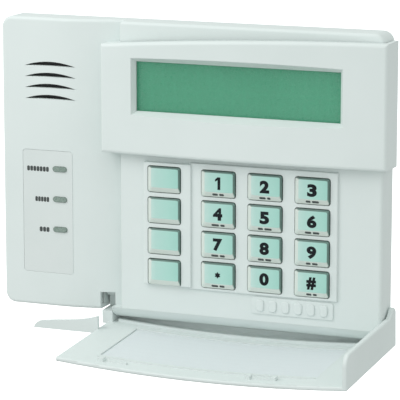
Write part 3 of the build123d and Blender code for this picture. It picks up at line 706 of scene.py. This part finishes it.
def bars_mesh(name, bars, height, thickness, crown=0.0):
    """Row of rounded bars, each (centre x, centre y, width)."""
    shape = bmesh.new()
    for x, y, width in bars:
        add_bar(shape, x, y, width, height, thickness, crown=crown)
    mesh = bpy.data.meshes.new(name)
    shape.to_mesh(mesh)
    shape.free()
    return mesh


def stand(mesh, matrix, lift):
    """Put artwork on its surface, lifted a little off it."""
    mesh.transform(matrix @ Matrix.Translation((0, 0, lift)))
    return mesh


def key_face(node):
    """Middle of a key's flat face and of its lower slope, as (x, z) pairs."""
    low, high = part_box(node)
    left = low.x + KEY_FLANGE + BEVEL_LEFT
    right = high.x - KEY_FLANGE - BEVEL_SMALL
    bottom = low.z + KEY_FLANGE + BEVEL_BOTTOM
    top = high.z - KEY_FLANGE - BEVEL_SMALL
    middle_x = (left + right) / 2
    face = (middle_x + DIGIT_SHIFT.x, (bottom + top) / 2 + DIGIT_SHIFT.z)
    slope = (middle_x + DIGIT_SHIFT.x, bottom - BEVEL_BOTTOM / 2)
    return face, slope


def print_keys(ink, grey):
    """A bold figure on each number key and a small blank legend on its lower slope."""
    for node, mark in KEY_MARKS.items():
        (face_x, face_z), (slope_x, slope_z) = key_face(node)
        if mark == "*":
            artwork = outline_mesh(star_outline(), STAR_SIZE, STAR_SIZE)
        elif mark == "1":
            artwork = outline_mesh(FIGURE_ONE, ONE_W, DIGIT_H)
        else:
            artwork = glyph_mesh(mark, DIGIT_W, DIGIT_H)
        figure = stand(artwork, on_front(node, face_x, face_z), INK_RAISE)
        new_piece("figure_" + node, figure, ink, node + "_button")
        if node not in LEGEND_WORDS:
            continue
        words = [width_mm * MM for width_mm in LEGEND_WORDS[node]]
        total = sum(words) + LEGEND_GAP * (len(words) - 1)
        left = -total / 2
        bars = []
        for word in words:
            bars.append((left + word / 2, 0.0, word))
            left += word + LEGEND_GAP
        legend = bars_mesh("legend_" + node, bars, LEGEND_H, INK_T)
        stand(legend, on_front(node, slope_x, slope_z), SMALL_INK_RAISE)
        new_piece("legend_" + node, legend, grey, node + "_button")


def print_status_label(ink):
    """A short blank word beside each status light, made of close upright strokes."""
    pipes_low, pipes_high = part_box("status_light_pipes")
    top = pipes_high.z - PIPE_FLANGE - LENS_HALF_H
    bottom = pipes_low.z + PIPE_FLANGE + LENS_HALF_H
    for index, start in enumerate(STATUS_MARK_STARTS):
        z = top + (bottom - top) * index / (len(STATUS_MARK_STARTS) - 1) - STATUS_MARK_DROP
        length = STATUS_MARK_END - start
        count = round(length / STATUS_STROKE_PITCH)
        pitch = length / count
        bars = []
        for stroke in range(count):
            bars.append((start + pitch * (stroke + 0.5), z, pitch * STATUS_STROKE_SHARE))
        mesh = bars_mesh("status_mark_" + str(index + 1), bars, STATUS_MARK_H, INK_T)
        low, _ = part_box("status_label")
        mesh.transform(Matrix.Translation((0, low.y - SMALL_INK_RAISE, 0)) @ FACING_FRONT)
        new_piece("status_mark_" + str(index + 1), mesh, ink, "case")


def raise_plate_pattern(material):
    """Even blank raised strokes on the nameplate, in place of any lettering."""
    low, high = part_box("nameplate")
    middle_z = (low.z + high.z) / 2
    pitch = (high.x - low.x - 2 * PLATE_MARGIN) / PLATE_STROKE_COUNT
    first_x = low.x + PLATE_MARGIN + pitch / 2
    bars = []
    for i in range(PLATE_STROKE_COUNT):
        bars.append((first_x + i * pitch, middle_z, PLATE_STROKE_SHARE * pitch))
    mesh = bars_mesh("nameplate_relief", bars, PLATE_STROKE_H, PLATE_STROKE_T, PLATE_STROKE_CROWN)
    mesh.transform(Matrix.Translation((0, low.y, 0)) @ FACING_FRONT)
    new_piece("nameplate_relief", mesh, material, "case")


# ---------------------------------------------------------------- studio


def make_camera():
    camera = bpy.data.cameras.new("camera")
    camera.lens = CAMERA_LENS
    camera.sensor_width = CAMERA_SENSOR
    holder = bpy.data.objects.new("camera", camera)
    bpy.context.scene.collection.objects.link(holder)
    back = Vector((
        math.sin(CAMERA_AZIMUTH) * math.cos(CAMERA_ELEVATION),
        -math.cos(CAMERA_AZIMUTH) * math.cos(CAMERA_ELEVATION),
        math.sin(CAMERA_ELEVATION),
    ))
    holder.location = CAMERA_TARGET + back * CAMERA_DISTANCE
    holder.rotation_euler = (-back).to_track_quat("-Z", "Y").to_euler()
    bpy.context.scene.camera = holder


def make_sky():
    """Soft surround, brightest overhead and a little in front of the panel."""
    world = bpy.data.worlds.new("studio")
    world.use_nodes = True
    tree = world.node_tree
    background = tree.nodes["Background"]
    direction = tree.nodes.new("ShaderNodeTexCoord").outputs["Generated"]
    product = tree.nodes.new("ShaderNodeVectorMath")
    product.operation = "DOT_PRODUCT"
    product.inputs[1].default_value = SKY_TOWARDS.normalized()
    tree.links.new(direction, product.inputs[0])
    level = remap(tree, product.outputs["Value"], -1.0, 1.0, SKY_DIM, SKY_BRIGHT)
    tree.links.new(level, background.inputs["Strength"])
    background.inputs["Color"].default_value = SKY_COLOUR
    bpy.context.scene.world = world


def make_key_light():
    light = bpy.data.lights.new("key_light", "AREA")
    light.energy = KEY_LIGHT_POWER
    light.size = KEY_LIGHT_SIZE
    holder = bpy.data.objects.new("key_light", light)
    bpy.context.scene.collection.objects.link(holder)
    holder.location = KEY_LIGHT_PLACE
    holder.rotation_euler = (Vector((0, 0, 0)) - KEY_LIGHT_PLACE).to_track_quat("-Z", "Y").to_euler()


def make_floor():
    """Plain white studio floor, far enough below to take no shadow."""
    shape = bmesh.new()
    corners = [(-1, -1), (1, -1), (1, 1), (-1, 1)]
    shape.faces.new([shape.verts.new((x * FLOOR_HALF, y * FLOOR_HALF, FLOOR_Z)) for x, y in corners])
    mesh = bpy.data.meshes.new("floor")
    shape.to_mesh(mesh)
    shape.free()
    material, tree, shader = new_material("floor_paper")
    fibres = noise(tree, coordinates(tree), 6.0, 2.0)
    paper = ramp(tree, fibres, [(0.3, (0.93, 0.93, 0.93)), (0.7, (0.95, 0.95, 0.95))])
    tree.links.new(paper, shader.inputs["Base Color"])
    shader.inputs["Roughness"].default_value = 0.9
    shader.inputs["Specular IOR Level"].default_value = 0.0
    shader.inputs["Emission Color"].default_value = (1, 1, 1, 1)
    shader.inputs["Emission Strength"].default_value = 0.75
    mesh.materials.append(material)
    floor = bpy.data.objects.new("floor", mesh)
    bpy.context.scene.collection.objects.link(floor)
    floor.visible_diffuse = False
    floor.visible_glossy = False
    floor.visible_shadow = False


materials = make_materials()
paint_nodes(materials)
print_keys(printing_ink(), legend_ink())
print_status_label(legend_ink())
raise_plate_pattern(materials["plate_plastic"])
make_camera()
make_sky()
make_key_light()
make_floor()
bpy.context.scene.view_settings.view_transform = "Standard"
